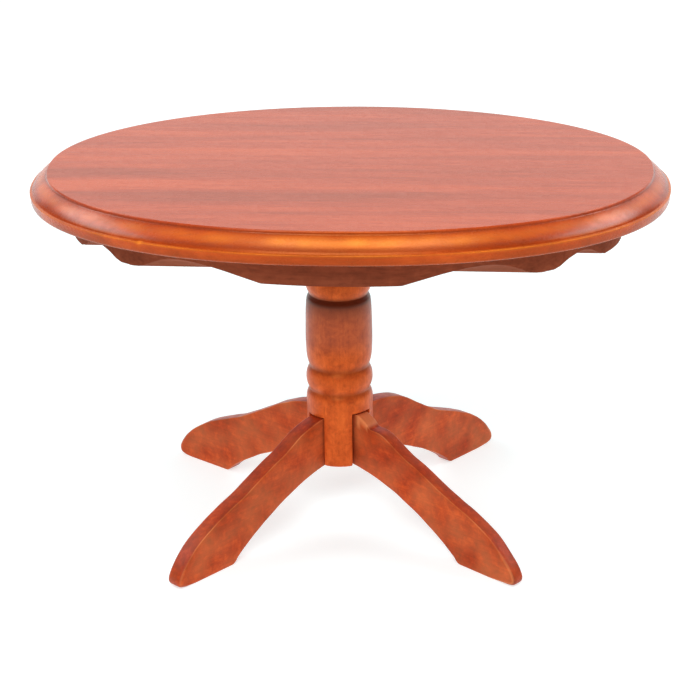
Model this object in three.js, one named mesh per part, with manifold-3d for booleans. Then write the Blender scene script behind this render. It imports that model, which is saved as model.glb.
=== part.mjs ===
// Miniature oval pedestal dining table, a glued wooden assembly for a doll's house.
// Millimetres, +Z up. The origin is on the floor under the middle of the oval top,
// +X runs along the long axis of the top and -Y is the front.
import * as THREE from 'three';
import * as BufferGeometryUtils from 'three/addons/utils/BufferGeometryUtils.js';
import Module from 'manifold-3d';

// ---- driving dimensions -------------------------------------------------------------
const TOP_LENGTH = 120;
const TOP_WIDTH = 89;
const TABLE_HEIGHT = 72.2;
// Exponents of the superellipse outline, where 2 is an ellipse: the hand-shaped top is a
// little squarer at the front than at the back.
const TOP_SQUARENESS = { front: 2.2, back: 2 };
const FLAT_INSET = 3.4;           // from the outer edge in to the flat of the top
const MOULDING_DROP = 3.3;        // from the flat down to the sharp arris
const BAND_HEIGHT = 2;            // upright band under the arris

const APRON_X = -0.8;             // the scalloped block is glued slightly left of the middle
const APRON_TURN = -1.5;          // and slightly turned, in degrees
const APRON_LENGTH = 104.2;
const APRON_WIDTH = 64.8;
const APRON_UNDERSIDE = 59;       // height of its lowest face above the floor
// A scoop falls from an arch on the wall to a straight line on the underside. An arch is
// given as [distance from the block's middle, height], the line as its own distance.
const WIDE_SCOOP = {
  arch: [
    [12.5, 0], [16, 0.95], [20, 1.95], [24, 2.65], [27.5, 2.85],
    [30.5, 2.45], [33, 1.45], [35, 0.4], [37, 0],
  ],
  lineY: 22.9,
};
const NARROW_SCOOP = {
  arch: [[39.3, 0], [40.5, 0.5], [42, 1.5], [44.3, 2.3], [46, 1.9], [47.4, 0.8], [48.6, 0]],
  lineY: 11.6,
};

const PEDESTAL_X = -2.4;          // the pedestal is glued slightly left of the middle
const COLUMN_RADIUS = 6.5;
const COLUMN_BASE = 12.05;        // height of the column's lower end above the floor

const LEG_INNER_END = 3.7;        // distance of the tongue's end from the column's axis
const LEG_ARRIS = 0.25;           // eased edges of the plank
const LEG_TONGUE_TOP = 21.9;
const RAISED_TONGUE_TOP = 22.8;   // one leg has a stepped tongue that sits higher
const SLOT_WIDTH = 4.5;
const SLOT_HEADROOM = 0.4;
const SLOT_INNER_END = 3.4;
// The slots are square to each other, and each hand-sawn leg sits a little askew in its own.
// slot and direction are degrees from +X. aside moves a leg across its length, reach makes it
// longer, and shoulder raises its top edge near the column, in millimetres.
const LEGS = {
  leg_back_right: { slot: 45, direction: 50.7, aside: -0.5, reach: 0, shoulder: 0.5, thickness: 3.1 },
  leg_back_left: { slot: 135, direction: 143, aside: -0.55, reach: -1.3, shoulder: -0.2, thickness: 3.1 },
  leg_front_left: { slot: 225, direction: 230.5, aside: -0.5, reach: -0.6, shoulder: -1, thickness: 3.4 },
  leg_front_right: {
    slot: 315, direction: 318.2, aside: -0.2, reach: 1.2, shoulder: -1.3, thickness: 2.8, raised: true,
  },
};

const DOWEL_RADIUS = 2;
const DOWEL_DEPTH = 4;            // how far the dowel reaches into each piece
const JOINT_GAP = 0.3;

const TOP_SEGMENTS = 72;
const COLUMN_SEGMENTS = 40;
const DOWEL_SEGMENTS = 20;

const TOP_UNDERSIDE = TABLE_HEIGHT - MOULDING_DROP - BAND_HEIGHT;
const APRON_TOP = TOP_UNDERSIDE - JOINT_GAP;
const COLUMN_TOP = APRON_UNDERSIDE - JOINT_GAP;

const wasm = await Module();
wasm.setup();

// ---- helpers ------------------------------------------------------------------------
function material(color, roughness) {
  return new THREE.MeshStandardMaterial({ color, roughness, metalness: 0 });
}

function radians(degrees) {
  return degrees * Math.PI / 180;
}

function toSolid(geometry) {
  const bare = geometry.clone();
  bare.deleteAttribute('normal');
  bare.deleteAttribute('uv');
  const merged = BufferGeometryUtils.mergeVertices(bare, 1e-4);
  return new wasm.Manifold(new wasm.Mesh({
    numProp: 3,
    vertProperties: new Float32Array(merged.attributes.position.array),
    triVerts: new Uint32Array(merged.index.array),
  }));
}

function toGeometry(solid) {
  const mesh = solid.getMesh();
  const geometry = new THREE.BufferGeometry();
  geometry.setAttribute('position', new THREE.BufferAttribute(mesh.vertProperties, 3));
  geometry.setIndex(new THREE.BufferAttribute(mesh.triVerts, 1));
  geometry.computeVertexNormals();
  return geometry;
}

// A profile of (inset from the outline, height) turned on a lathe about +Z.
// LatheGeometry turns about +Y, so the result is stood up.
function turned(profile, segments) {
  const points = profile.map(([radius, height]) => new THREE.Vector2(radius, height));
  const geometry = new THREE.LatheGeometry(points, segments);
  geometry.rotateX(Math.PI / 2);
  return geometry;
}

// Point and outward normal at the angle t of an oval made of two half superellipses.
function ovalAt(t, halfLength, halfWidth, squareness) {
  const c = Math.cos(t);
  const s = Math.sin(t);
  const exponent = s < 0 ? squareness.front : squareness.back;
  const x = halfLength * Math.sign(c) * Math.abs(c) ** (2 / exponent);
  const y = halfWidth * Math.sign(s) * Math.abs(s) ** (2 / exponent);
  const nx = Math.sign(x) * Math.abs(x / halfLength) ** (exponent - 1) / halfLength;
  const ny = Math.sign(y) * Math.abs(y / halfWidth) ** (exponent - 1) / halfWidth;
  const length = Math.hypot(nx, ny);
  return { x, y, nx: nx / length, ny: ny / length };
}

// Bends a lathe form of radius halfLength onto an oval outline, so that a point at some
// inset from the lathe's rim keeps that inset from the oval's edge.
function bentToOval(geometry, halfLength, halfWidth, squareness) {
  const position = geometry.attributes.position;
  for (let i = 0; i < position.count; i += 1) {
    const radius = Math.hypot(position.getX(i), position.getY(i));
    if (radius < 1e-6) continue;
    const angle = Math.atan2(position.getY(i), position.getX(i));
    const edge = ovalAt(angle, halfLength, halfWidth, squareness);
    const inset = halfLength - radius;
    position.setX(i, edge.x - edge.nx * inset);
    position.setY(i, edge.y - edge.ny * inset);
  }
  return geometry;
}

// ---- tabletop: an oval board with a moulded edge ------------------------------------
function tabletop() {
  const half = TOP_LENGTH / 2;
  const arris = TABLE_HEIGHT - MOULDING_DROP;
  const curve = new THREE.CubicBezierCurve(
    new THREE.Vector2(half - 3.2, TABLE_HEIGHT - 0.6),
    new THREE.Vector2(half - 2.1, TABLE_HEIGHT - 1.3),
    new THREE.Vector2(half - 0.9, TABLE_HEIGHT - 2.3),
    new THREE.Vector2(half - 0.45, arris + 0.1),
  );
  const ovolo = curve.getPoints(6).map((point) => [point.x, point.y]);
  const profile = [
    [0, TOP_UNDERSIDE],
    [half - 0.5, TOP_UNDERSIDE],
    [half - 0.25, TOP_UNDERSIDE + 0.25],
    [half, arris - 0.1],
    [half, arris],
    ...ovolo.reverse(),
    [half - FLAT_INSET, TABLE_HEIGHT],
    [0, TABLE_HEIGHT],
  ];
  const board = turned(profile, TOP_SEGMENTS);
  return bentToOval(board, half, TOP_WIDTH / 2, TOP_SQUARENESS);
}

// ---- apron: an oval block whose lower edge is scooped into scallops -----------------
// A solid lofted through four-cornered sections, each listed in the same turning sense.
function lofted(sections) {
  const positions = sections.flat(2);
  const indices = [0, 2, 1, 0, 3, 2];
  for (let start = 0; start < 4 * (sections.length - 1); start += 4) {
    for (let corner = 0; corner < 4; corner += 1) {
      const a = start + corner;
      const b = start + (corner + 1) % 4;
      indices.push(a, b, b + 4, a, b + 4, a + 4);
    }
  }
  const last = 4 * (sections.length - 1);
  indices.push(last, last + 1, last + 2, last, last + 2, last + 3);
  return new wasm.Manifold(new wasm.Mesh({
    numProp: 3,
    vertProperties: new Float32Array(positions),
    triVerts: new Uint32Array(indices),
  }));
}

// The tool that cuts the scoop of one quarter of the block, where x and y are positive.
function scoopCutter({ arch, lineY }) {
  const beyond = 3;                // how far the tool reaches past the wall and the underside
  const curve = new THREE.SplineCurve(arch.map(([x, height]) => new THREE.Vector2(x, height)));
  const sections = curve.getPoints(3 * (arch.length - 1)).map(({ x, y }) => {
    const wallY = APRON_WIDTH / 2 * Math.sqrt(1 - (2 * x / APRON_LENGTH) ** 2);
    const slope = Math.max(y, 0) / Math.max(wallY - lineY, 0.4);
    const low = APRON_UNDERSIDE - beyond;
    return [
      [x, lineY, low],
      [x, wallY + beyond, low],
      [x, wallY + beyond, APRON_UNDERSIDE + slope * (wallY + beyond - lineY)],
      [x, lineY, APRON_UNDERSIDE],
    ];
  });
  return lofted(sections);
}

function apronBlock() {
  const halfLength = APRON_LENGTH / 2;
  const halfWidth = APRON_WIDTH / 2;
  const profile = [
    [0, APRON_UNDERSIDE],
    [halfLength, APRON_UNDERSIDE],
    [halfLength, APRON_TOP],
    [0, APRON_TOP],
  ];
  const ellipse = { front: 2, back: 2 };
  let block = toSolid(bentToOval(turned(profile, TOP_SEGMENTS), halfLength, halfWidth, ellipse));
  for (const scoop of [WIDE_SCOOP, NARROW_SCOOP]) {
    const cutter = scoopCutter(scoop);
    for (const [x, y] of [[1, 1], [-1, 1], [-1, -1], [1, -1]]) {
      block = block.subtract(cutter.scale([x, y, 1]));
    }
  }
  block = block.rotate([0, 0, APRON_TURN]);
  const hole = new THREE.CylinderGeometry(
    DOWEL_RADIUS + JOINT_GAP, DOWEL_RADIUS + JOINT_GAP, 2 * (DOWEL_DEPTH + JOINT_GAP), DOWEL_SEGMENTS,
  );
  hole.rotateX(Math.PI / 2);
  hole.translate(PEDESTAL_X - APRON_X, 0, APRON_UNDERSIDE);
  return toGeometry(block.subtract(toSolid(hole)).translate([APRON_X, 0, 0]));
}

// ---- column: one turning, slotted at its foot for the legs --------------------------
function column() {
  const r = COLUMN_RADIUS;
  const holeRadius = DOWEL_RADIUS + JOINT_GAP;
  const outline = new THREE.SplineCurve([
    new THREE.Vector2(r - 0.65, 46.2),
    new THREE.Vector2(r - 0.3, 45.4),
    new THREE.Vector2(r - 0.15, 43.8),
    new THREE.Vector2(r - 0.05, 40.6),
    new THREE.Vector2(r, 37.4),
    new THREE.Vector2(r - 0.08, 34.9),
    new THREE.Vector2(r - 0.25, 33.3),
    new THREE.Vector2(r - 0.6, 32.3),
  ]);
  const barrel = outline.getPoints(12).map((point) => [point.x, point.y]).reverse();
  const bead = (low, high, inner, outer) => [
    [inner, low],
    [outer - 0.25, low + 0.2 * (high - low)],
    [outer, (low + high) / 2],
    [outer - 0.25, high - 0.2 * (high - low)],
    [inner, high],
  ];
  const profile = [
    [0, COLUMN_BASE],
    [r - 0.4, COLUMN_BASE],
    [r, COLUMN_BASE + 0.4],
    [r, 25],
    [r - 0.15, 25.9],
    [r - 0.45, 26.5],
    [r - 0.55, 26.9],
    ...bead(27.3, 31.2, r - 0.5, r),
    [r - 0.65, 31.7],
    ...barrel,
    [r - 0.75, 46.5],
    ...bead(46.9, 50.4, r - 0.6, r - 0.1),
    [r - 1.0, 50.9],
    [r - 1.3, 53],
    [r - 0.9, 55.6],
    [r + 0.6, 57.2],
    [r + 0.6, COLUMN_TOP],
    [holeRadius, COLUMN_TOP],
    [holeRadius, COLUMN_TOP - DOWEL_DEPTH - JOINT_GAP],
    [0, COLUMN_TOP - DOWEL_DEPTH - JOINT_GAP],
  ];
  let turning = toSolid(turned(profile, COLUMN_SEGMENTS));
  const slotLength = 2 * COLUMN_RADIUS;
  for (const { slot, raised } of Object.values(LEGS)) {
    const tongueTop = raised ? RAISED_TONGUE_TOP : LEG_TONGUE_TOP;
    const slotHeight = 2 * (tongueTop + SLOT_HEADROOM - COLUMN_BASE);
    const cutter = new THREE.BoxGeometry(slotLength, SLOT_WIDTH, slotHeight);
    cutter.translate(SLOT_INNER_END + slotLength / 2, 0, COLUMN_BASE);
    cutter.rotateZ(radians(slot));
    turning = turning.subtract(toSolid(cutter));
  }
  return toGeometry(turning);
}

// ---- leg: a sawn plank, S-curved above, hollowed below, flat where it stands --------
// Outlines are [distance from the column's axis, height].
const LEG_TOP_EDGE = [
  [12.5, 20.9], [17.3, 19], [22.3, 16.2], [28, 13.2], [34.5, 10.7], [39.7, 8.1],
  [43.6, 5], [45.5, 2.6], [45.9, 1.2], [45.3, 0.3], [44, 0],
];
const LEG_LOWER_EDGE = [
  [31.3, 0.4], [30.3, 1.4], [27.1, 3.6], [22.2, 6.4], [16.5, 9], [10.9, 10.9], [6.4, 11.85],
];

function leg({ reach, shoulder, thickness, raised }) {
  const longer = (x) => x + reach * THREE.MathUtils.smoothstep(x, 7, 14);
  const onTop = ([x, z]) => new THREE.Vector2(longer(x), z + shoulder * Math.exp(-(((x - 17) / 5) ** 2)));
  const below = ([x, z]) => new THREE.Vector2(longer(x), z);
  const outline = new THREE.Shape();
  outline.moveTo(LEG_INNER_END, COLUMN_BASE);
  if (raised) {
    outline.lineTo(LEG_INNER_END, RAISED_TONGUE_TOP);
    outline.lineTo(6.9, RAISED_TONGUE_TOP);
    outline.lineTo(9, 21.6);
    outline.lineTo(9.6, 20.8);
    outline.lineTo(10.6, 20.8);
  } else {
    outline.lineTo(LEG_INNER_END, LEG_TONGUE_TOP);
    outline.lineTo(8, 21.6);
  }
  outline.splineThru(LEG_TOP_EDGE.map(onTop));
  outline.lineTo(longer(32), 0);
  outline.splineThru(LEG_LOWER_EDGE.map(below));
  outline.closePath();
  const plank = new THREE.ExtrudeGeometry(outline, {
    depth: thickness - 2 * LEG_ARRIS,
    bevelEnabled: true,
    bevelThickness: LEG_ARRIS,
    bevelSize: LEG_ARRIS,
    bevelOffset: -LEG_ARRIS,
    bevelSegments: 1,
    curveSegments: 3,
  });
  plank.translate(0, 0, LEG_ARRIS - thickness / 2);
  plank.rotateX(Math.PI / 2);
  return plank;
}

function dowel() {
  const pin = new THREE.CylinderGeometry(DOWEL_RADIUS, DOWEL_RADIUS, 2 * DOWEL_DEPTH, DOWEL_SEGMENTS);
  pin.rotateX(Math.PI / 2);
  return pin;
}

// ---- the table ----------------------------------------------------------------------
const group = new THREE.Group();
const stain = {
  tabletop: material(0xb4552e, 0.25),
  apron: material(0x7a3c26, 0.4),
  column: material(0xb2532a, 0.35),
  leg: material(0xb24a28, 0.35),
  dowel: material(0xc9a06a, 0.7),
};

function place(name, geometry, finish, parent) {
  const mesh = new THREE.Mesh(geometry, finish);
  mesh.name = name;
  parent.add(mesh);
  return mesh;
}

place('tabletop', tabletop(), stain.tabletop, group);
place('apron_block', apronBlock(), stain.apron, group);

const pedestal = new THREE.Group();
pedestal.position.set(PEDESTAL_X, 0, 0);
group.add(pedestal);

place('column', column(), stain.column, pedestal);
place('column_dowel', dowel(), stain.dowel, pedestal).position.z = (COLUMN_TOP + APRON_UNDERSIDE) / 2;
for (const [name, shape] of Object.entries(LEGS)) {
  const plank = place(name, leg(shape), stain.leg, pedestal);
  const direction = radians(shape.direction);
  plank.rotation.z = direction;
  plank.position.set(-shape.aside * Math.sin(direction), shape.aside * Math.cos(direction), 0);
}

export default group;
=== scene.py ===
"""Miniature oval pedestal dining table: stained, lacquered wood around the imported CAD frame.

Metres, in the frame of the CAD part: +Z up, -Y to the front, origin on the floor under the
middle of the top. Lengths in the tables below are millimetres, turned into metres by MM.
"""
import math

import bpy
from mathutils import Matrix, Vector, noise


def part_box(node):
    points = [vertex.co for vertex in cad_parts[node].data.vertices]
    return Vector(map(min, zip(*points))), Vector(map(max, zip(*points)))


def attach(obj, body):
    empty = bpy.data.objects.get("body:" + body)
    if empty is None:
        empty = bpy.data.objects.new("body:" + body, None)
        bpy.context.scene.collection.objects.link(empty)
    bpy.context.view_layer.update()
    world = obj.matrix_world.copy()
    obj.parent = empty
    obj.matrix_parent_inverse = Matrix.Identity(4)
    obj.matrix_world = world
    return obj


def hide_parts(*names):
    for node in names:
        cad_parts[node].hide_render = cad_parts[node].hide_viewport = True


MM = 0.001
BODY = "root"

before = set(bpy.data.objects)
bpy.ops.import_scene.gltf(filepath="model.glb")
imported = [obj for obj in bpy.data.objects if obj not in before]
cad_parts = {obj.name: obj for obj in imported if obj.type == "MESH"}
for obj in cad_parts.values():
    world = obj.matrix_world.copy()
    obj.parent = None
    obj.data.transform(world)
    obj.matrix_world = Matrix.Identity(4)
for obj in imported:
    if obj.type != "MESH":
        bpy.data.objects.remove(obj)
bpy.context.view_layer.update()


# ---- small geometry helpers -----------------------------------------------------------
def middle(node):
    """The middle of a CAD node's box, in millimetres."""
    low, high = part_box(node)
    return [(high[i] + low[i]) / 2 / MM for i in range(3)]


def spline(points, steps):
    """A Catmull-Rom curve through the points, with a number of steps per span."""
    padded = [points[0]] + list(points) + [points[-1]]
    curve = []
    for i in range(1, len(padded) - 2):
        p0, p1, p2, p3 = padded[i - 1:i + 3]
        for k in range(steps):
            t = k / steps
            curve.append(tuple(
                0.5 * (2 * b + (c - a) * t + (2 * a - 5 * b + 4 * c - d) * t * t
                       + (3 * b - a - 3 * c + d) * t ** 3)
                for a, b, c, d in zip(p0, p1, p2, p3)))
    curve.append(tuple(points[-1]))
    return curve


def mesh_piece(name, vertices, faces, sharp_degrees=32):
    """A mesh object from millimetre vertices, smooth-shaded with sharp edges kept."""
    mesh = bpy.data.meshes.new(name)
    mesh.from_pydata([Vector(v) * MM for v in vertices], [], faces)
    mesh.validate()
    piece = bpy.data.objects.new(name, mesh)
    bpy.context.scene.collection.objects.link(piece)
    smooth(piece, sharp_degrees)
    return piece


def smooth(piece, sharp_degrees):
    piece.data.shade_smooth()
    piece.data.set_sharp_from_angle(angle=math.radians(sharp_degrees))


def stacked_rings(name, rings, sharp_degrees=32):
    """A closed skin over rings of equal length, with a flat cap on the first and last ring."""
    count = len(rings[0])
    vertices = [point for ring in rings for point in ring]
    faces = []
    for r in range(len(rings) - 1):
        for k in range(count):
            after = (k + 1) % count
            faces.append((r * count + k, r * count + after,
                          (r + 1) * count + after, (r + 1) * count + k))
    faces.append(tuple(reversed(range(count))))
    faces.append(tuple(range((len(rings) - 1) * count, len(rings) * count)))
    return mesh_piece(name, vertices, faces, sharp_degrees)


def oval_point(t, half_length, half_width, front, back):
    """Point and outward normal, at the angle t, of an oval made of two half superellipses."""
    c, s = math.cos(t), math.sin(t)
    exponent = front if s < 0 else back
    x = half_length * math.copysign(abs(c) ** (2 / exponent), c)
    y = half_width * math.copysign(abs(s) ** (2 / exponent), s)
    nx = math.copysign(abs(x / half_length) ** (exponent - 1) / half_length, x)
    ny = math.copysign(abs(y / half_width) ** (exponent - 1) / half_width, y)
    length = math.hypot(nx, ny)
    return x, y, nx / length, ny / length


def between(value, low, high):
    """0 below low, 1 above high, and an even S-curve between them."""
    share = max(0.0, min(1.0, (value - low) / (high - low)))
    return share * share * (3 - 2 * share)


def paint(piece, name, value_at):
    """Stores a number per vertex, worked out from its place in millimetres."""
    attribute = piece.data.attributes.new(name, "FLOAT", "POINT")
    for i, vertex in enumerate(piece.data.vertices):
        attribute.data[i].value = value_at(vertex.co / MM)


def bump_at(value, centre, width, height=1):
    """A smooth bump of a given height around centre."""
    return height * math.exp(-((value - centre) / width) ** 2)


# ---- wood -----------------------------------------------------------------------------
class Graph:
    """Short names for building a material's nodes."""

    def __init__(self, name):
        self.material = bpy.data.materials.new(name)
        self.material.use_nodes = True
        self.tree = self.material.node_tree
        self.shader = self.tree.nodes["Principled BSDF"]

    def node(self, kind, **settings):
        made = self.tree.nodes.new("ShaderNode" + kind)
        for key, value in settings.items():
            setattr(made, key, value)
        return made

    def link(self, output, socket):
        self.tree.links.new(output, socket)

    def noise(self, vector, detail, roughness, distortion):
        made = self.node("TexNoise")
        made.inputs["Scale"].default_value = 1.0
        made.inputs["Detail"].default_value = detail
        made.inputs["Roughness"].default_value = roughness
        made.inputs["Distortion"].default_value = distortion
        self.link(vector, made.inputs["Vector"])
        return made.outputs["Fac"]

    def stretched(self, scales, offset):
        """Object coordinates in millimetres, multiplied along each axis."""
        coordinates = self.node("TexCoord").outputs["Object"]
        mapping = self.node("Mapping")
        mapping.inputs["Scale"].default_value = [s / MM for s in scales]
        mapping.inputs["Location"].default_value = offset
        self.link(coordinates, mapping.inputs["Vector"])
        return mapping.outputs["Vector"]

    def ramp(self, value, *stops):
        made = self.node("ValToRGB")
        elements = made.color_ramp.elements
        elements[0].position, elements[0].color = stops[0][0], (*stops[0][1], 1)
        elements[1].position, elements[1].color = stops[-1][0], (*stops[-1][1], 1)
        for position, colour in stops[1:-1]:
            elements.new(position).color = (*colour, 1)
        self.link(value, made.inputs["Fac"])
        return made.outputs["Color"]

    def fit(self, value, low, high, to_low, to_high):
        made = self.node("MapRange")
        for key, number in (("From Min", low), ("From Max", high),
                            ("To Min", to_low), ("To Max", to_high)):
            made.inputs[key].default_value = number
        self.link(value, made.inputs["Value"])
        return made.outputs["Result"]

    def math(self, operation, a, b):
        made = self.node("Math", operation=operation)
        for socket, value in zip(made.inputs, (a, b)):
            if isinstance(value, (int, float)):
                socket.default_value = value
            else:
                self.link(value, socket)
        return made.outputs["Value"]

    def mix(self, factor, a, b):
        made = self.node("Mix", data_type="RGBA")
        sockets = [made.inputs["Factor"], made.inputs[6], made.inputs[7]]
        for socket, value in zip(sockets, (factor, a, b)):
            if isinstance(value, (int, float)):
                socket.default_value = value
            elif isinstance(value, tuple):
                socket.default_value = (*value, 1)
            else:
                self.link(value, socket)
        return made.outputs[2]

    def attribute(self, name):
        return self.node("Attribute", attribute_name=name).outputs["Fac"]


# The lacquer is tinted too: its highlights are orange, and only a grazing view whitens them.
LACQUER_TINT = (1.0, 0.40, 0.12)
COLOURLESS = (1.0, 1.0, 1.0)
LACQUER_IOR = 1.5
# Noise patterns: scale along the grain and across it, per millimetre, a shift that keeps the
# patterns apart, then detail, roughness and distortion.
FIGURE = (0.012, 0.17, 0.0, 3.0, 0.5, 0.4)
FIBRE = (0.07, 1.7, 11.0, 4.0, 0.6, 0.1)
PORES = (0.5, 2.6, 23.0, 2.0, 0.5, 0.0)
BLOTCH_SCALE = 0.55
BLOTCH_NOISE = (5.0, 0.68, 0.3)
TONE_STOPS = (0.22, 0.5, 0.78)    # where the darkest, usual and lightest stain lie
PORE_RANGE = (0.30, 0.42)         # noise below the first is a full pore, above the second none
PORE_STRENGTH = 0.22
PORE_SHADE = 0.5                  # shades of the darkest stain: in the pores, and for the painted shade
RECESS_SHADE = 0.3
FIBRES = 0.7                      # the usual strength of the fine fibres
GRAIN_RELIEF = 0.2
GRAIN_DEPTH = 0.05


def stained_wood(name, tones, along, seed, roughness, gloss, streaks, lines, mottle,
                 has_clear=True):
    """Mahogany-coloured stain under a lacquer, with the grain along one axis.

    tones are the darkest, usual and lightest stain and the colour of worn spots and painted
    highlights.
    streaks, lines and mottle are how far the long figure, the fine fibres and the round
    blotches move the tone. Painted attributes lighten the wood (wear, and painted highlights and
    sheen), darken it (painted shade, and some stain) and make the lacquer clear (colourless, on
    the pieces whose wood has_clear).
    """
    dark, mid, light, lightening = tones
    g = Graph(name)

    def grain(along_scale, across_scale, shift, detail, texture, distortion):
        scales = [across_scale] * 3
        scales["xyz".index(along)] = along_scale
        offset = (seed + shift, seed * 1.7 + shift, seed * 0.6)
        return g.noise(g.stretched(scales, offset), detail, texture, distortion)

    figure, fibre, pore_noise = grain(*FIGURE), grain(*FIBRE), grain(*PORES)
    blotch = g.noise(g.stretched([BLOTCH_SCALE] * 3, (seed, 3, 7)), *BLOTCH_NOISE)

    tone = g.math("ADD", g.math("MULTIPLY", figure, streaks), g.math("MULTIPLY", fibre, lines))
    tone = g.math("ADD", tone, g.math("MULTIPLY", blotch, mottle))
    tone = g.math("ADD", tone, 0.5 - 0.5 * (streaks + lines + mottle))
    colour = g.ramp(tone, *zip(TONE_STOPS, (dark, mid, light)))
    pores = g.fit(pore_noise, *PORE_RANGE, PORE_STRENGTH, 0.0)
    colour = g.mix(pores, colour, tuple(c * PORE_SHADE for c in dark))
    # Lightened where worn and where highlights and sheen are painted; darkened by painted shade
    # and some stain.
    colour = g.mix(g.attribute("wear_and_highlight"), colour, lightening)
    colour = g.mix(g.attribute("stain_and_shade"), colour, tuple(c * RECESS_SHADE for c in dark))
    g.link(colour, g.shader.inputs["Base Color"])

    satin = g.math("ADD", g.fit(blotch, 0.3, 0.7, roughness + 0.04, roughness - 0.03),
                   g.fit(fibre, 0.3, 0.7, 0.03, -0.02))
    g.link(satin, g.shader.inputs["Roughness"])
    g.shader.inputs["IOR"].default_value = LACQUER_IOR
    g.shader.inputs["Specular IOR Level"].default_value = gloss
    tint = g.shader.inputs["Specular Tint"]
    if has_clear:
        g.link(g.mix(g.attribute("clear"), LACQUER_TINT, COLOURLESS), tint)
    else:
        tint.default_value = (*LACQUER_TINT, 1)

    height = g.math("SUBTRACT", g.math("MULTIPLY", fibre, 0.6), g.math("MULTIPLY", pores, 0.4))
    height = g.math("ADD", height, g.math("MULTIPLY", blotch, 0.3 * mottle))
    relief = g.node("Bump")
    relief.inputs["Strength"].default_value = GRAIN_RELIEF
    relief.inputs["Distance"].default_value = GRAIN_DEPTH * MM
    g.link(height, relief.inputs["Height"])
    g.link(relief.outputs["Normal"], g.shader.inputs["Normal"])
    return g.material


# Per wood: the darkest, usual and lightest stain, and the colour of worn spots and painted
# highlights.
TOP_TONES = ((0.35, 0.038, 0.005), (0.465, 0.050, 0.007),
             (0.59, 0.076, 0.011), (0.92, 0.25, 0.024))
# The apron's tones are darker and greyer than the rest: its own stain, and painted shade from the
# tabletop above it.
APRON_TONES = ((0.18, 0.042, 0.020), (0.25, 0.058, 0.027),
               (0.32, 0.078, 0.036), (0.44, 0.17, 0.10))
COLUMN_TONES = ((0.42, 0.054, 0.011), (0.64, 0.098, 0.018),
                (0.80, 0.150, 0.028), (0.82, 0.25, 0.06))
LEG_TONES = ((0.22, 0.022, 0.005), (0.42, 0.034, 0.005),
             (0.66, 0.078, 0.010), (0.80, 0.25, 0.09))
BARE_TONES = ((0.42, 0.26, 0.12), (0.55, 0.36, 0.18),
              (0.66, 0.46, 0.26), (0.66, 0.46, 0.26))

top_wood = stained_wood("tabletop_stain", TOP_TONES, "x", seed=2.3, roughness=0.26, gloss=0.7,
                        streaks=1.4, lines=FIBRES, mottle=0.3)
apron_wood = stained_wood("apron_stain", APRON_TONES, "x", seed=9.1, roughness=0.7, gloss=0.04,
                          streaks=1.0, lines=FIBRES, mottle=0.6, has_clear=False)
column_wood = stained_wood("column_stain", COLUMN_TONES, "z", seed=5.7, roughness=0.34, gloss=0.5,
                           streaks=0.5, lines=0.5 * FIBRES, mottle=1.1)
leg_wood = stained_wood("leg_stain", LEG_TONES, "x", seed=7.9, roughness=0.38, gloss=0.2,
                        streaks=0.5, lines=0.5 * FIBRES, mottle=1.0)
bare_wood = stained_wood("bare_dowel", BARE_TONES, "z", seed=1.4, roughness=0.6, gloss=0.5,
                         streaks=1.0, lines=FIBRES, mottle=0.3, has_clear=False)


# ---- tabletop -------------------------------------------------------------------------
TOP_FRONT_EXPONENT = 2.2
TOP_BACK_EXPONENT = 2
TOP_STEPS = 540
MOULDING_DROP = 3.3
FLAT_INSET = 3.4
CHIP_ANGLE = math.radians(228)    # a small knock in the arris, front left
CHIP_WIDTH = 0.45
CHIP_DEPTH = 0.22
CHIP_RUB = 0.9
# Bands painted round the edge (painted shade, and wear with painted highlights and sheen) are
# (height, width, strength), a strength left out being 1.
# Heights of these four are from the arris.
ARRIS_LINE = (-0.02, 0.11)
LOWER_SHADE = (0.65, 0.45, 0.35)
FRONT_HIGHLIGHT = (1.75, 0.7)
SHEEN_AROUND = (1.9, 0.6, 0.3)
# Heights of these two are from the underside, and of the last from the flat of the top.
UNDERSIDE_SHADE = (0.35, 0.45, 0.3)
UNDERSIDE_EDGE = (0.1, 0.12, 0.25)
QUIRK_SHADE = (-0.5, 0.24, 0.5)
TOP_EDGE_NOISE_SCALE = 0.12             # of the noise that varies the wear and painted highlight on the arris
HIGHLIGHT_PATCH_SCALE = 0.3                 # of the noise in the painted highlight along the moulding
# Along the front a highlight is painted on the moulding around this x, and the lacquer is clear
# away from it.
FRONT_HIGHLIGHT_MIDDLE = 3
FRONT_HIGHLIGHT_REACH = 26
CLEAR_FROM = 28
TOP_CLEARNESS = 0.9


def top_profile(underside, flat_z):
    """(inset, height) from the underside, round the moulded edge, to the flat of the top."""
    arris = flat_z - MOULDING_DROP
    lower = [(30, 0), (12, 0), (3, 0), (0.8, 0), (0.52, 0.03), (0.34, 0.12), (0.24, 0.28),
             (0.15, 0.55)]
    ledge = [(0.05, -0.5), (0.0, -0.14), (0.0, -0.05), (0.03, 0.0), (0.1, 0.03), (0.3, 0.05),
             (0.4, 0.09), (0.45, 0.15)]
    ovolo = spline([(0.47, 0.21), (0.58, 0.4), (0.8, 0.68), (1.15, 1.08), (1.6, 1.52), (2.1, 1.95),
                    (2.6, 2.33), (3.0, 2.6)], 4)
    quirk = [(3.1, 2.65), (3.17, 2.73), (3.21, 2.88), (3.25, 3.06), (3.3, 3.2),
             (FLAT_INSET, MOULDING_DROP)]
    profile = [(inset, underside + z) for inset, z in lower]
    profile += [(inset, arris + z) for inset, z in ledge + ovolo + quirk]
    return profile + [(inset, flat_z) for inset in (4.2, 7, 12, 20, 30)]


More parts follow.
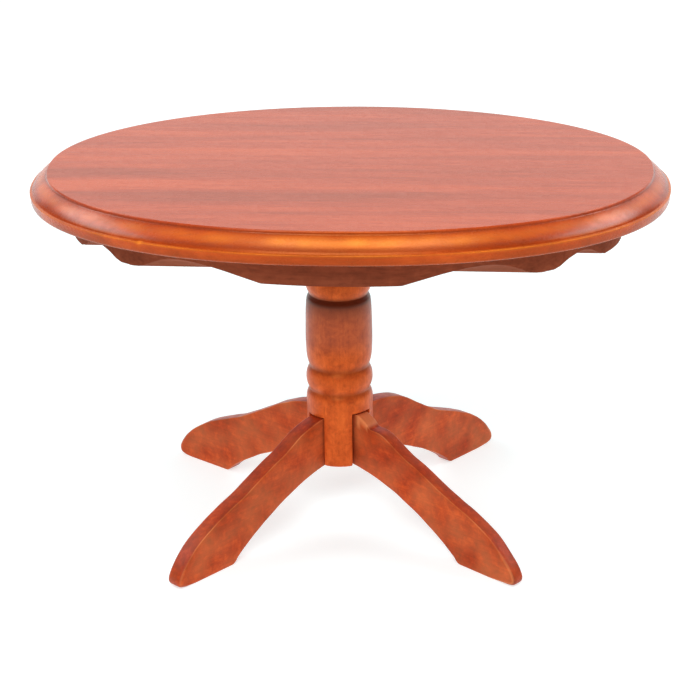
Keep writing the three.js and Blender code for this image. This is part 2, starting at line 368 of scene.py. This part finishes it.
def build_tabletop():
    low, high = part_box("tabletop")
    half_length = (high[0] - low[0]) / 2 / MM
    half_width = (high[1] - low[1]) / 2 / MM
    underside, flat_z = low[2] / MM, high[2] / MM
    arris = flat_z - MOULDING_DROP

    def chip(x, y, z):
        angle = math.atan2(y, x) % math.tau
        along = (angle - CHIP_ANGLE) * math.hypot(x, y)
        return bump_at(along, 0, CHIP_WIDTH) * bump_at(z, arris - 0.1, 0.3)

    rings = []
    for inset, z in top_profile(underside, flat_z):
        ring = []
        for k in range(TOP_STEPS):
            x, y, nx, ny = oval_point(math.tau * k / TOP_STEPS, half_length, half_width,
                                      TOP_FRONT_EXPONENT, TOP_BACK_EXPONENT)
            knocked = inset + CHIP_DEPTH * chip(x, y, z)
            ring.append((x - nx * knocked, y - ny * knocked, z))
        rings.append(ring)
    piece = stacked_rings("moulded_top", rings, 40)

    def stain_and_shade(co):
        """Painted shade in the quirk, at the foot of the moulding and under the edge; none on the
        flat faces.
        """
        if co.z > flat_z - 0.01 or co.z < underside + 0.01:
            return 0.0
        return (bump_at(co.z - flat_z, *QUIRK_SHADE) + bump_at(co.z - arris, *LOWER_SHADE)
                + bump_at(co.z - underside, *UNDERSIDE_SHADE))

    def wear_and_highlight(co):
        """Wear on the knock; wear and painted highlight on the arris and lower edge; painted
        highlight and sheen on the moulding.
        """
        lightening = max(0.0, 0.5 + 0.9 * noise.noise(co * TOP_EDGE_NOISE_SCALE))
        patches = 0.75 + 0.5 * noise.noise(co * HIGHLIGHT_PATCH_SCALE)
        arris_line = (0.25 + 0.4 * lightening) * bump_at(co.z - arris, *ARRIS_LINE)
        front = bump_at(co.x, FRONT_HIGHLIGHT_MIDDLE, FRONT_HIGHLIGHT_REACH) * (co.y < 0)
        slope_highlight = patches * max(bump_at(co.z - arris, *FRONT_HIGHLIGHT) * front,
                              bump_at(co.z - arris, *SHEEN_AROUND))
        lower_edge = lightening * bump_at(co.z - underside, *UNDERSIDE_EDGE)
        knocked = CHIP_RUB * chip(co.x, co.y, co.z)
        return max(0.0, min(1.0, arris_line + lower_edge + slope_highlight + knocked))

    def clear(co):
        """The lacquer is colourless towards the ends of the moulding."""
        on_moulding = between(co.z, arris + 0.3, arris + 0.9) * (co.z < flat_z - 0.01)
        front = bump_at(co.x, FRONT_HIGHLIGHT_MIDDLE, CLEAR_FROM) * (co.y < 0)
        return TOP_CLEARNESS * on_moulding * (1 - front)

    paint(piece, "stain_and_shade", stain_and_shade)
    paint(piece, "wear_and_highlight", wear_and_highlight)
    paint(piece, "clear", clear)
    return piece


# ---- apron block ----------------------------------------------------------------------
# A scoop falls from an arch on the wall to a straight line on the underside. Arches are
# (distance from the block's middle, height); line_y is the line's distance from the middle.
WIDE_SCOOP = {
    "arch": [(12.5, 0), (16, 0.95), (20, 1.95), (24, 2.65), (27.5, 2.85), (30.5, 2.45),
             (33, 1.45), (35, 0.4), (37, 0)],
    "line_y": 22.9,
}
NARROW_SCOOP = {
    "arch": [(39.3, 0), (40.5, 0.5), (42, 1.5), (44.3, 2.3), (46, 1.9), (47.4, 0.8),
             (48.6, 0)],
    "line_y": 11.6,
}
SCOOP_CURVES = [spline(scoop["arch"], 10) for scoop in (WIDE_SCOOP, NARROW_SCOOP)]
APRON_TURN = math.radians(-1.5)
APRON_STEPS = 900
SCOOP_ROWS = 8
LEAST_RUN = 0.8                   # the underside's first strip is never narrower than this
APRON_EASE = 0.16                 # how much the lower edge is rubbed round
SCOOP_HOLLOW = 0.12               # how far a scoop's slope curves, as a share of its rise
SCOOP_PAINTED_LIGHT = 0.15                  # how much painted light the scoops get
APRON_TOP_SHADE = (0.8, 0.45)     # width and strength of the painted shade line under the tabletop


def arch_height(distance):
    """Height of the scoops' arches at a distance from the block's middle."""
    for curve in SCOOP_CURVES:
        for (x0, z0), (x1, z1) in zip(curve, curve[1:]):
            if x0 <= distance <= x1:
                return max(0.0, z0 + (z1 - z0) * (distance - x0) / (x1 - x0))
    return 0.0


def scoop_inner_point(x, y):
    """Where the strip of underside that starts at a point of the wall ends.

    It runs straight back, and past the narrow scoop it swings towards the middle.
    """
    towards_end = between(abs(x), 37.2, 39.2)
    wide, narrow = WIDE_SCOOP["line_y"], NARROW_SCOOP["line_y"]
    line_y = wide + (narrow - wide) * towards_end
    run = max(LEAST_RUN, abs(y) - line_y)
    across = Vector((0, -math.copysign(1, y)))
    to_middle = Vector((-x, -y)).normalized()
    direction = across.lerp(to_middle, between(abs(x), 47.5, 50.5)).normalized()
    return x + direction.x * run, y + direction.y * run


def build_apron():
    low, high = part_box("apron_block")
    centre_x = (high[0] + low[0]) / 2 / MM
    half_length = (high[0] - low[0]) / 2 / MM
    half_width = (high[1] - low[1]) / 2 / MM
    bottom, top = low[2] / MM, high[2] / MM
    columns = []                  # each runs down the wall and in along the underside
    for k in range(APRON_STEPS):
        x, y, nx, ny = oval_point(math.tau * k / APRON_STEPS, half_length, half_width, 2, 2)
        rise = arch_height(abs(x))
        inner_x, inner_y = scoop_inner_point(x, y)
        edge = bottom + rise
        eased = 0.3 * APRON_EASE
        column = [(x * 0.6, y * 0.6, top), (x - nx * 0.1, y - ny * 0.1, top), (x, y, top - 0.1),
                  (x, y, (top + edge) / 2), (x, y, edge + APRON_EASE),
                  (x - nx * eased, y - ny * eased, edge + 0.35 * APRON_EASE)]
        for row in range(1, SCOOP_ROWS + 1):
            share = row / SCOOP_ROWS
            hollow = SCOOP_HOLLOW * rise * math.sin(math.pi * share)
            column.append((x + (inner_x - x) * share, y + (inner_y - y) * share,
                           edge - rise * share + hollow))
        column.append((inner_x * 0.6, inner_y * 0.6, bottom))
        columns.append(column)
    rings = [list(ring) for ring in zip(*columns)]
    piece = stacked_rings("scalloped_apron", rings[::-1], 28)

    def scooped(co):
        """Painted light on the scoops, which face down towards the pale floor."""
        distance = abs(co.x)
        inside = arch_height(distance) > 0.25
        wall_y = half_width * math.sqrt(max(0.0, 1 - (distance / half_length) ** 2))
        behind_wall = between(wall_y - abs(co.y), 0.2, 0.7)
        return SCOOP_PAINTED_LIGHT * inside * behind_wall * between(co.z, bottom - 0.01, bottom + 0.4)

    # Painted shade in a line under the tabletop; the scoops get painted light.
    paint(piece, "stain_and_shade", lambda co: bump_at(co.z, top, *APRON_TOP_SHADE))
    paint(piece, "wear_and_highlight", scooped)
    piece.location = (centre_x * MM, 0, 0)
    piece.rotation_euler = (0, 0, APRON_TURN)
    return piece


# ---- column ---------------------------------------------------------------------------
COLUMN_STEPS = 160
COLUMN_RADIUS = 6.5
COLUMN_EASE = 0.12                # the bevel on its sharp edges
EASED_FROM = math.radians(50)
SLOT_INNER_END = 3.4              # from the column's axis
SLOT_WIDTH = 4.5
SLOT_HEADROOM = 0.4
# Painted shade in and beside the grooves, with some stain pooled in them: height from the floor,
# width and strength.
GROOVE_SHADE_AND_STAIN = ((46, 0.9, 0.75), (44.6, 1.8, 0.35), (31.8, 0.75, 0.5), (26.9, 0.7, 0.45),
                (50.9, 0.7, 0.4))
# Painted shade in the slots, on the upper barrel and under the apron block.
SLOT_SHADE = 0.15
UPPER_BARREL_SHADE = 0.27
UNDER_BLOCK_SHADE = 0.25
BARREL_CLEARNESS = 0.45
SLOT_DIRECTIONS = {
    "leg_back_right": math.radians(45),
    "leg_back_left": math.radians(135),
    "leg_front_left": math.radians(225),
    "leg_front_right": math.radians(315),
}


def column_profile(r, foot, head):
    """(radius, height from the floor) of the turning, from its lower to its upper end."""
    profile = [(r - 0.6, foot), (r - 0.3, foot + 0.06), (r - 0.08, foot + 0.25), (r, foot + 0.5)]
    profile += [(r, z) for z in (15, 18, 21, 23.4, 24.4)]
    profile += spline([(r, 24.9), (r - 0.05, 25.5), (r - 0.2, 26.1), (r - 0.45, 26.6),
                       (r - 0.57, 26.9), (r - 0.5, 27.2)], 4)
    profile += spline([(r - 0.45, 27.35), (r - 0.15, 28.1), (r, 29.2), (r - 0.12, 30.3),
                       (r - 0.42, 31.1)], 5)
    profile += spline([(r - 0.52, 31.3), (r - 0.64, 31.6), (r - 0.6, 31.95)], 4)
    profile += spline([(r - 0.52, 32.2), (r - 0.3, 33.0), (r - 0.14, 34.0), (r - 0.05, 35.6),
                       (r, 37.6), (r - 0.04, 40.4), (r - 0.12, 43.4), (r - 0.28, 45.3),
                       (r - 0.55, 46.0)], 6)
    profile += spline([(r - 0.65, 46.25), (r - 0.76, 46.5), (r - 0.68, 46.75)], 4)
    profile += spline([(r - 0.62, 46.9), (r - 0.32, 47.5), (r - 0.12, 48.4), (r - 0.12, 49.6),
                       (r - 0.55, 50.4)], 5)
    profile += [(r - 0.95, 50.75), (r - 1.05, 51)]
    profile += spline([(r - 1.2, 51.3), (r - 1.4, 53), (r - 1.15, 54.9), (r - 0.2, 56.4),
                       (r + 0.5, 56.95)], 5)
    profile += [(r + 0.6, 57.1), (r + 0.6, head - 0.15), (r + 0.45, head)]
    return profile


def turned_piece(name, profile, steps, sharp_degrees):
    angles = [math.tau * k / steps for k in range(steps)]
    rings = [[(radius * math.cos(angle), radius * math.sin(angle), z) for angle in angles]
             for radius, z in profile]
    return stacked_rings(name, rings, sharp_degrees)


def box_cutter(length, width, height, centre, angle):
    x, y, z = length / 2, width / 2, height / 2
    corners = [Vector((i * x + centre[0], j * y + centre[1], k * z + centre[2]))
               for k in (-1, 1) for j in (-1, 1) for i in (-1, 1)]
    turn = Matrix.Rotation(angle, 3, "Z")
    faces = [(0, 2, 3, 1), (4, 5, 7, 6), (0, 1, 5, 4), (2, 6, 7, 3), (0, 4, 6, 2), (1, 3, 7, 5)]
    return mesh_piece("slot_cutter", [turn @ c for c in corners], faces)


def apply_modifiers(piece):
    """Replaces a piece's mesh by its mesh with the modifiers applied."""
    graph = bpy.context.evaluated_depsgraph_get()
    result = bpy.data.meshes.new_from_object(piece.evaluated_get(graph))
    piece.modifiers.clear()
    piece.data = result


def build_column():
    low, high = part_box("column")
    centre_x, centre_y = middle("column")[:2]
    foot, head = low[2] / MM, high[2] / MM
    r = COLUMN_RADIUS
    piece = turned_piece("turned_column", column_profile(r, foot, head), COLUMN_STEPS, 28)
    cutters = []
    for leg, angle in SLOT_DIRECTIONS.items():
        slot_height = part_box(leg)[1][2] / MM + SLOT_HEADROOM - foot
        cutter = box_cutter(2 * r, SLOT_WIDTH, 2 * slot_height, (SLOT_INNER_END + r, 0, foot),
                            angle)
        cut = piece.modifiers.new("slot", "BOOLEAN")
        cut.object = cutter
        cut.operation = "DIFFERENCE"
        cut.solver = "EXACT"
        cutters.append(cutter)
    bpy.context.view_layer.update()
    apply_modifiers(piece)
    for cutter in cutters:
        bpy.data.objects.remove(cutter)
    bevel = piece.modifiers.new("ease", "BEVEL")
    bevel.width = COLUMN_EASE * MM
    bevel.segments = 2
    bevel.limit_method = "ANGLE"
    bevel.angle_limit = EASED_FROM
    bpy.context.view_layer.update()
    apply_modifiers(piece)
    piece.location = (centre_x * MM, centre_y * MM, 0)
    smooth(piece, 35)

    def barrel(co):
        """1 on the long swelling part of the turning."""
        return between(co.z, 34, 39) * (1 - between(co.z, 46, 47))

    def stain_and_shade(co):
        """Painted shade in the slots, grooves, upper barrel and under the block; some stain pooled
        in the grooves too.
        """
        in_slots = SLOT_SHADE * between(r - math.hypot(co.x, co.y), 1.5, 2.2)
        grooves = sum(bump_at(co.z, *groove) for groove in GROOVE_SHADE_AND_STAIN)
        under_block = UNDER_BLOCK_SHADE * between(co.z, 55.5, 57)
        return min(1.0, in_slots + grooves + UPPER_BARREL_SHADE * barrel(co) + under_block)

    paint(piece, "stain_and_shade", stain_and_shade)
    paint(piece, "clear", lambda co: BARREL_CLEARNESS * barrel(co))
    paint(piece, "wear_and_highlight", lambda co: 0.0)
    return piece


# ---- legs -----------------------------------------------------------------------------
# Each leg sits a little askew in its slot: aside moves it across its length, reach makes it
# longer and shoulder raises its top edge near the column, in millimetres.
LEGS = {
    "leg_back_right": {"direction": 50.7, "aside": -0.5, "reach": 0, "shoulder": 0.5,
                       "thickness": 3.1},
    "leg_back_left": {"direction": 143, "aside": -0.55, "reach": -1.3, "shoulder": -0.2,
                      "thickness": 3.1},
    "leg_front_left": {"direction": 230.5, "aside": -0.5, "reach": -0.6, "shoulder": -1,
                       "thickness": 3.4},
    "leg_front_right": {"direction": 318.2, "aside": -0.2, "reach": 1.2, "shoulder": -1.3,
                        "thickness": 2.8},
}
RAISED_TONGUE_LEG = "leg_front_right"    # its tongue is stepped and sits higher in its slot
# Outlines are (distance from the column's axis, height), from the column out to the toe.
LEG_LOWER_CORNER = (3.7, 12.05)
TONGUE = [(3.7, 21.9), (5, 21.9), (6.6, 21.85)]
RAISED_TONGUE = [(3.7, 22.8), (5, 22.8), (6.6, 22.8), (7.0, 22.72), (8.0, 22.2), (8.9, 21.65),
                 (9.3, 21.2), (9.5, 20.9), (9.8, 20.8), (10.6, 20.8)]
LEG_TOP_EDGE = [(8, 21.6), (12.5, 20.9), (17.3, 19), (22.3, 16.2), (28, 13.2), (34.5, 10.7),
                (39.7, 8.1), (43.6, 5), (45.5, 2.6), (45.9, 1.2), (45.3, 0.3), (44, 0)]
LEG_LOWER_EDGE = [(6.4, 11.85), (10.9, 10.9), (16.5, 9), (22.2, 6.4), (27.1, 3.6), (30.3, 1.4),
                  (31.3, 0.4), (32, 0)]
LEG_STATIONS = 110
LEG_ROWS = 8
LEG_ARRIS = 0.26
TOE_ARRIS = 0.75                  # the toes are worn rounder
ARRIS_STEPS = 5
FIRST_SEED = 3.1                  # places in the noise for the waviness of each leg
SEED_STEP = 4.7
# How far the sawn outline wanders out and up, the scale of the noise, and a shift of its seed.
WANDER_OUT = (0.05, 0.5, 0)
WANDER_UP = (0.10, 0.3, 9)
# Lighter on the legs: wear with a painted highlight on the arris, painted sheen on the sawn edge,
# painted light on the tongue's end.
ARRIS_WEAR_AND_HIGHLIGHT = (0.94, 0.06, 0.8)    # at this share of half the thickness, its width and strength
EDGE_SHEEN = 0.13
LEG_LIGHTENING_SCALE = 0.22             # of the noise that varies them both
TONGUE_END_LIGHT = 0.75
# Darker: the sawn edges a little, and painted shade on the tongue inside its slot.
EDGE_DARKENING = 0.12
TONGUE_SHADE = 0.4
EDGE_CLEARNESS = 0.9


def resampled(points, count):
    """A polyline as count points an equal distance apart."""
    lengths = [0.0]
    for a, b in zip(points, points[1:]):
        lengths.append(lengths[-1] + math.dist(a, b))
    result, span = [], 0
    for k in range(count):
        target = lengths[-1] * k / (count - 1)
        while span < len(points) - 2 and lengths[span + 1] < target:
            span += 1
        share = (target - lengths[span]) / (lengths[span + 1] - lengths[span])
        result.append(tuple(a + (b - a) * share for a, b in zip(points[span], points[span + 1])))
    return result


def leg_outline(node, seed):
    """The plank's closed outline: out along its top to the toe, back along its underside."""
    reach, shoulder = LEGS[node]["reach"], LEGS[node]["shoulder"]

    def longer(x):
        return x + reach * between(x, 7, 14)

    top_edge = [(longer(x), z + shoulder * bump_at(x, 17, 5)) for x, z in LEG_TOP_EDGE]
    if node == RAISED_TONGUE_LEG:
        top = RAISED_TONGUE + spline([RAISED_TONGUE[-1]] + top_edge[1:], 10)[1:]
    else:
        top = TONGUE + spline([LEG_TOP_EDGE[0]] + top_edge[1:], 10)
    lower_edge = [(longer(x), z) for x, z in LEG_LOWER_EDGE]
    sole = [(longer(38), 0), (longer(44), 0)]
    bottom = [LEG_LOWER_CORNER, (5, 12)] + spline(lower_edge, 10) + sole
    outline = resampled(top, LEG_STATIONS) + resampled(bottom, LEG_STATIONS)[-2:0:-1]
    outline.append(LEG_LOWER_CORNER)

    def wander(x, z, size, scale, shift):
        free = between(x, 8, 12) * between(z, 0.1, 1.0)    # not in the slot or at the floor
        return size * free * noise.noise(Vector((x * scale, z * scale, seed + shift)))

    return [(x + wander(x, z, *WANDER_OUT), z + wander(x, z, *WANDER_UP)) for x, z in outline]


def arris_at(x):
    """How wide a leg's arris is at a distance from the column's axis."""
    return LEG_ARRIS + (TOE_ARRIS - LEG_ARRIS) * between(x, 40.5, 45)


def inset_outline(points, share):
    """Moves a clockwise outline inwards by a share of its arris, wider at the toe."""
    corners = [Vector(point) for point in points]
    moved = []
    for i, here in enumerate(corners):
        before, after = corners[i - 1], corners[(i + 1) % len(corners)]
        first, second = (here - before).normalized(), (after - here).normalized()
        normal = Vector((first.y + second.y, -first.x - second.x))
        stretch = min(1.6, 2 / max(0.6, normal.length))
        moved.append(tuple(here + normal.normalized() * arris_at(here.x) * share * stretch))
    return moved


def build_leg(node, seed):
    outline = leg_outline(node, seed)
    half = LEGS[node]["thickness"] / 2
    bends = [math.radians(90 * k / ARRIS_STEPS) for k in range(ARRIS_STEPS + 1)]
    count = len(outline)
    vertices = []
    for side in (-1, 1):
        for bend in bends if side < 0 else bends[::-1]:
            for x, z in inset_outline(outline, 1 - math.sin(bend)):
                vertices.append((x, side * (half - arris_at(x) * (1 - math.cos(bend))), z))
    rings = 2 * len(bends)
    faces = []
    for r in range(rings - 1):
        for k in range(count):
            after = (k + 1) % count
            faces.append((r * count + k, (r + 1) * count + k,
                          (r + 1) * count + after, r * count + after))
    for side, first in ((-1, 0), (1, (rings - 1) * count)):
        faces += face_grid(vertices, first, side)
    piece = mesh_piece("sawn_" + node, vertices, faces, 40)
    paint_leg(piece, node)
    place_leg(piece, node)
    return piece


def face_grid(vertices, first, side):
    """Fills one flat face of the plank with quads, and adds their vertices."""
    count = 2 * LEG_STATIONS - 1
    rows = [[first + i for i in range(LEG_STATIONS)]]
    top = [vertices[i] for i in rows[0]]
    last = [first + (count - 1 - i) for i in range(LEG_STATIONS - 1)] + [first + LEG_STATIONS - 1]
    for row in range(1, LEG_ROWS):
        share = row / LEG_ROWS
        line = [len(vertices) + i for i in range(LEG_STATIONS - 1)] + [first + LEG_STATIONS - 1]
        for i in range(LEG_STATIONS - 1):
            upper, lower = Vector(top[i]), Vector(vertices[last[i]])
            vertices.append(tuple(upper.lerp(lower, share)))
        rows.append(line)
    rows.append(last)
    faces = []
    for a, b in zip(rows, rows[1:]):
        for i in range(LEG_STATIONS - 1):
            corners = [a[i], a[i + 1], b[i + 1], b[i]]
            corners = [c for n, c in enumerate(corners) if c != corners[n - 1]]
            faces.append(tuple(corners if side < 0 else corners[::-1]))
    return faces


def paint_leg(piece, node):
    half = LEGS[node]["thickness"] / 2

    def wear_and_highlight(co):
        """Wear with a painted highlight on the arrises, painted sheen on the sawn edge, painted
        light on the raised tongue's end.
        """
        across = min(1.0, abs(co.y) / half)
        lightening = max(0.0, 0.75 + 0.8 * noise.noise(co * LEG_LIGHTENING_SCALE))
        on_edge = EDGE_SHEEN * (1 - between(across, 0.8, 0.95)) * between(co.x, 9, 14)
        lit_end = 0.0
        if node == RAISED_TONGUE_LEG:
            lit_end = TONGUE_END_LIGHT * between(co.z, 20.9, 21.3) * between(co.x, 5.8, 6.6)
        return min(1.0, lightening * (bump_at(across, *ARRIS_WEAR_AND_HIGHLIGHT) + on_edge) + lit_end)

    def sawn_edge(co):
        return 1 - between(abs(co.y) / half, 0.9, 0.99)

    def stain_and_shade(co):
        # Painted shade on the tongue inside its slot, and the sawn edges a little darker.
        in_slot = 1 - between(co.x, 4.5, 7)
        return max(EDGE_DARKENING * sawn_edge(co), TONGUE_SHADE * in_slot)

    paint(piece, "wear_and_highlight", wear_and_highlight)
    paint(piece, "stain_and_shade", stain_and_shade)
    paint(piece, "clear", lambda co: EDGE_CLEARNESS * sawn_edge(co))


def place_leg(piece, node):
    centre_x, centre_y = middle("column")[:2]
    leg = LEGS[node]
    direction = math.radians(leg["direction"])
    aside = Vector((-math.sin(direction), math.cos(direction))) * leg["aside"]
    piece.location = ((centre_x + aside.x) * MM, (centre_y + aside.y) * MM, 0)
    piece.rotation_euler = (0, 0, direction)


# ---- stage, light and camera ----------------------------------------------------------
# Places and sizes here are in metres.
AIM = Vector((0, 0, 0.05))        # the point the lights face
FLOOR_REACH = 30                  # far enough for a low camera to see no end of it
FLOOR_COLOUR = (0.58, 0.69, 0.70, 1)    # a little green, against the red light from the wood
FLOOR_ROUGHNESS = 0.9
FLOOR_GLOW = 0.53
WORLD_GLOW = 0.15
WHITE = (1, 1, 1, 1)
# Place, size and radiance of each soft light.
LIGHTS = {
    "softbox_above": ((0, -0.28, 1.0), (0.42, 0.3), 6.4),
    "softbox_front": ((-0.1, -0.95, 0.8), (0.7, 0.5), 6.5),
    "panel_behind": ((0, 1.3, 0.6), (3.0, 1.2), 0.93),
    "softbox_left": ((-0.92, 0.12, 0.78), (0.9, 0.4), 4.2),
    "softbox_right": ((0.92, 0.12, 0.78), (0.9, 0.4), 4.6),
}
CAMERA_EYE = Vector((22.3, -371.3, 181.3)) * MM
CAMERA_TARGET = Vector((-0.3, 0.1, 34.3)) * MM
CAMERA_ROLL = math.radians(-0.66)
CAMERA_LENS = 105.6               # millimetres, like the sensor's width
CAMERA_SENSOR = 36


def area_light(name, location, size, radiance):
    """A soft panel that faces the table, as bright as radiance to whoever looks at it."""
    data = bpy.data.lights.new(name, "AREA")
    data.shape = "RECTANGLE"
    data.size, data.size_y = size
    data.energy = radiance * math.pi * size[0] * size[1]
    lamp = bpy.data.objects.new(name, data)
    bpy.context.scene.collection.objects.link(lamp)
    lamp.location = location
    lamp.rotation_euler = (AIM - Vector(location)).to_track_quat("-Z", "Y").to_euler()
    lamp.visible_camera = False


def build_stage():
    far = FLOOR_REACH / MM
    corners = [(-far, -far, 0), (far, -far, 0), (far, far, 0), (-far, far, 0)]
    floor = mesh_piece("floor", corners, [(0, 1, 2, 3)])
    material = bpy.data.materials.new("pale_floor")
    material.use_nodes = True
    shader = material.node_tree.nodes["Principled BSDF"]
    shader.inputs["Base Color"].default_value = FLOOR_COLOUR
    shader.inputs["Roughness"].default_value = FLOOR_ROUGHNESS
    shader.inputs["Specular IOR Level"].default_value = 0.0
    shader.inputs["Emission Color"].default_value = WHITE
    shader.inputs["Emission Strength"].default_value = FLOOR_GLOW
    floor.data.materials.append(material)

    world = bpy.data.worlds.new("studio")
    bpy.context.scene.world = world
    world.use_nodes = True
    background = world.node_tree.nodes["Background"]
    background.inputs["Color"].default_value = WHITE
    background.inputs["Strength"].default_value = WORLD_GLOW

    for name, settings in LIGHTS.items():
        area_light(name, *settings)


def build_camera():
    """The eye looks down at the table from the front, a little from the right."""
    data = bpy.data.cameras.new("camera")
    data.sensor_width = CAMERA_SENSOR
    data.lens = CAMERA_LENS
    camera = bpy.data.objects.new("camera", data)
    bpy.context.scene.collection.objects.link(camera)
    turn = (CAMERA_TARGET - CAMERA_EYE).to_track_quat("-Z", "Y").to_matrix().to_4x4()
    roll = Matrix.Rotation(CAMERA_ROLL, 4, "Z")
    camera.matrix_world = Matrix.Translation(CAMERA_EYE) @ turn @ roll
    bpy.context.scene.camera = camera


# ---- assembly -------------------------------------------------------------------------
def finish_piece(piece, node, material):
    """Dresses a piece and puts it in the place of its CAD node."""
    piece.data.materials.clear()
    piece.data.materials.append(material)
    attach(piece, BODY)
    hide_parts(node)


bpy.context.scene.view_settings.view_transform = "Standard"
build_camera()
build_stage()

finish_piece(build_tabletop(), "tabletop", top_wood)
finish_piece(build_apron(), "apron_block", apron_wood)
finish_piece(build_column(), "column", column_wood)
for number, leg_node in enumerate(LEGS):
    leg_piece = build_leg(leg_node, FIRST_SEED + SEED_STEP * number)
    finish_piece(leg_piece, leg_node, leg_wood)

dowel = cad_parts["column_dowel"]
dowel.data.materials.clear()
dowel.data.materials.append(bare_wood)
